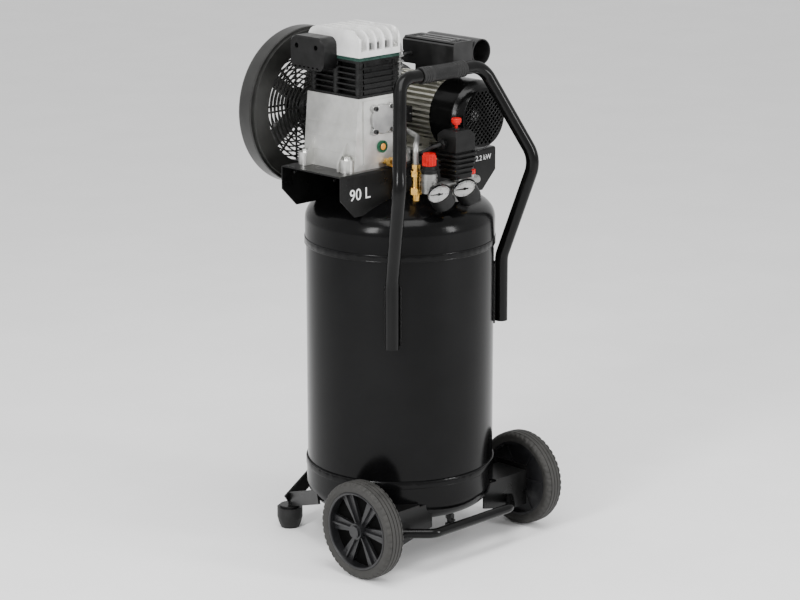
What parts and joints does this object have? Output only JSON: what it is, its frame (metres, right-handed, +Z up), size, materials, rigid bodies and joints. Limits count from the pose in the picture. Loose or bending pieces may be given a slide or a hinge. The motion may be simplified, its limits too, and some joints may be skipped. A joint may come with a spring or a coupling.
{
  "type": "air compressor",
  "caption": "Upright belt-driven workshop air compressor with a glossy black tank on two wheels, twin-cylinder pump, electric motor, belt guard and push handle.",
  "frame": {"origin": "on the floor under the middle of the whole object, which is the axis of the upright tank", "axes": "+Z up; +X along the wheel axles from the pump side to the motor side; -Y towards the handle, +Y towards the belt guard"},
  "size_m": [0.541, 0.47, 1.126],
  "materials": {
    "tank_paint": "gloss black paint",
    "rubber": "matte",
    "tyre_rubber": "matte moulded",
    "rim_plastic": "satin moulded",
    "zinc": "zinc plated",
    "cast_aluminium": "as cast, satin",
    "black_iron": "painted black",
    "black_screw": "black oxide",
    "sight": "gloss",
    "black_plastic": "satin moulded",
    "cover_paint": "gloss black",
    "plate_steel": "ground, with gaskets",
    "bearing_steel": "ground",
    "grey_iron": "cast",
    "brass": "satin",
    "copper": "drawn copper",
    "red_plastic": "gloss moulded",
    "needle_black": "matte",
    "lens": "clear"
  },
  "bodies": {
    "frame": {"tank_shell": "tank_paint", "tank_top_dome": "tank_paint", "tank_bottom_dome": "tank_paint", "platform": "tank_paint", "handle_frame": "tank_paint", "wheel_brackets": "tank_paint", "front_rail": "tank_paint", "foot_struts": "tank_paint", "handle_grip": "rubber", "rubber_feet": "rubber", "drive_belt": "rubber", "motor_lead": "rubber", "wheel_axles": "zinc", "zinc_bolts": "zinc", "crankcase": "cast_aluminium", "cylinder_head": "cast_aluminium", "bearing_cover": "cast_aluminium", "motor_housing": "cast_aluminium", "motor_end_shields": "cast_aluminium", "air_manifold": "cast_aluminium", "discharge_pipe": "cast_aluminium", "cylinder_block": "black_iron", "cover_screws": "black_screw", "sight_glass": "sight", "oil_breather": "black_plastic", "air_filter": "black_plastic", "terminal_box": "black_plastic", "capacitor": "black_plastic", "guard_inner": "black_plastic", "guard_outer": "black_plastic", "switch_body": "black_plastic", "switch_cover": "black_plastic", "regulator_bonnet": "black_plastic", "gauge_cases": "black_plastic", "fan_cover": "cover_paint", "valve_plate": "plate_steel", "ball_bearings": "bearing_steel", "stator": "bearing_steel", "check_valve": "brass", "brass_fittings": "brass", "drain_valve": "brass", "unloader_tube": "copper", "gauge_lenses": "lens"},
    "wheel_left": {"tyre_left": "tyre_rubber", "rim_left": "rim_plastic"},
    "wheel_right": {"tyre_right": "tyre_rubber", "rim_right": "rim_plastic"},
    "crank": {"crankshaft": "bearing_steel", "flywheel": "grey_iron"},
    "rotor": {"motor_rotor": "bearing_steel", "cooling_fan": "black_plastic", "motor_pulley": "grey_iron"},
    "front_piston": {"piston_front": "bearing_steel"},
    "rear_piston": {"piston_rear": "bearing_steel"},
    "switch_knob": {"switch_knob": "red_plastic"},
    "regulator_knob": {"regulator_knob": "red_plastic"},
    "needle_left": {"needle_left": "needle_black"},
    "needle_right": {"needle_right": "needle_black"},
    "outlet_knob": {"outlet_knob": "red_plastic"},
    "drain_wing": {"drain_wing": "black_plastic"}
  },
  "joints": [
    {"name": "left_wheel_spin", "type": "hinge", "parent": "frame", "child": "wheel_left", "pos_m": [-0.2445, -0.134, 0.104], "axis": [1, 0, 0], "continuous": true},
    {"name": "right_wheel_spin", "type": "hinge", "parent": "frame", "child": "wheel_right", "pos_m": [0.2445, -0.134, 0.104], "axis": [1, 0, 0], "continuous": true},
    {"name": "crank_spin", "type": "hinge", "parent": "frame", "child": "crank", "pos_m": [-0.102, 0.188, 0.941], "axis": [0, 1, 0], "continuous": true},
    {"name": "motor_spin", "type": "hinge", "parent": "frame", "child": "rotor", "pos_m": [0.148, 0.188, 0.917], "axis": [0, 1, 0], "continuous": true},
    {"name": "front_piston_stroke", "type": "slide", "parent": "frame", "child": "front_piston", "axis": [0, 0, 1], "range_m": [-0.046, 0]},
    {"name": "rear_piston_stroke", "type": "slide", "parent": "frame", "child": "rear_piston", "axis": [0, 0, 1], "range_m": [0, 0.046]},
    {"name": "switch_pull", "type": "slide", "parent": "frame", "child": "switch_knob", "axis": [0, 0, 1], "range_m": [-0.007, 0]},
    {"name": "regulator_turn", "type": "hinge", "parent": "frame", "child": "regulator_knob", "pos_m": [-0.049, -0.134, 0.86], "axis": [0, 0, 1], "range_deg": [-720, 720]},
    {"name": "left_needle_sweep", "type": "hinge", "parent": "frame", "child": "needle_left", "pos_m": [-0.064, -0.177, 0.7965], "axis": [-0.6409, -0.1001, 0.7611], "range_deg": [-270, 0]},
    {"name": "right_needle_sweep", "type": "hinge", "parent": "frame", "child": "needle_right", "pos_m": [0.012, -0.177, 0.7965], "axis": [-0.6409, -0.1001, 0.7611], "range_deg": [-270, 0]},
    {"name": "outlet_tap", "type": "hinge", "parent": "frame", "child": "outlet_knob", "pos_m": [0.077, -0.134, 0.81], "axis": [0, 0, 1], "range_deg": [0, 90]},
    {"name": "drain_turn", "type": "hinge", "parent": "frame", "child": "drain_wing", "pos_m": [0.074, -0.08, 0.025], "axis": [0, 0, 1], "range_deg": [-360, 0]}
  ],
  "couplings": [
    {"joint": "motor_spin", "follows": "crank_spin", "ratio": 2.5769},
    {"joint": "rear_piston_stroke", "follows": "front_piston_stroke", "ratio": -1}
  ]
}
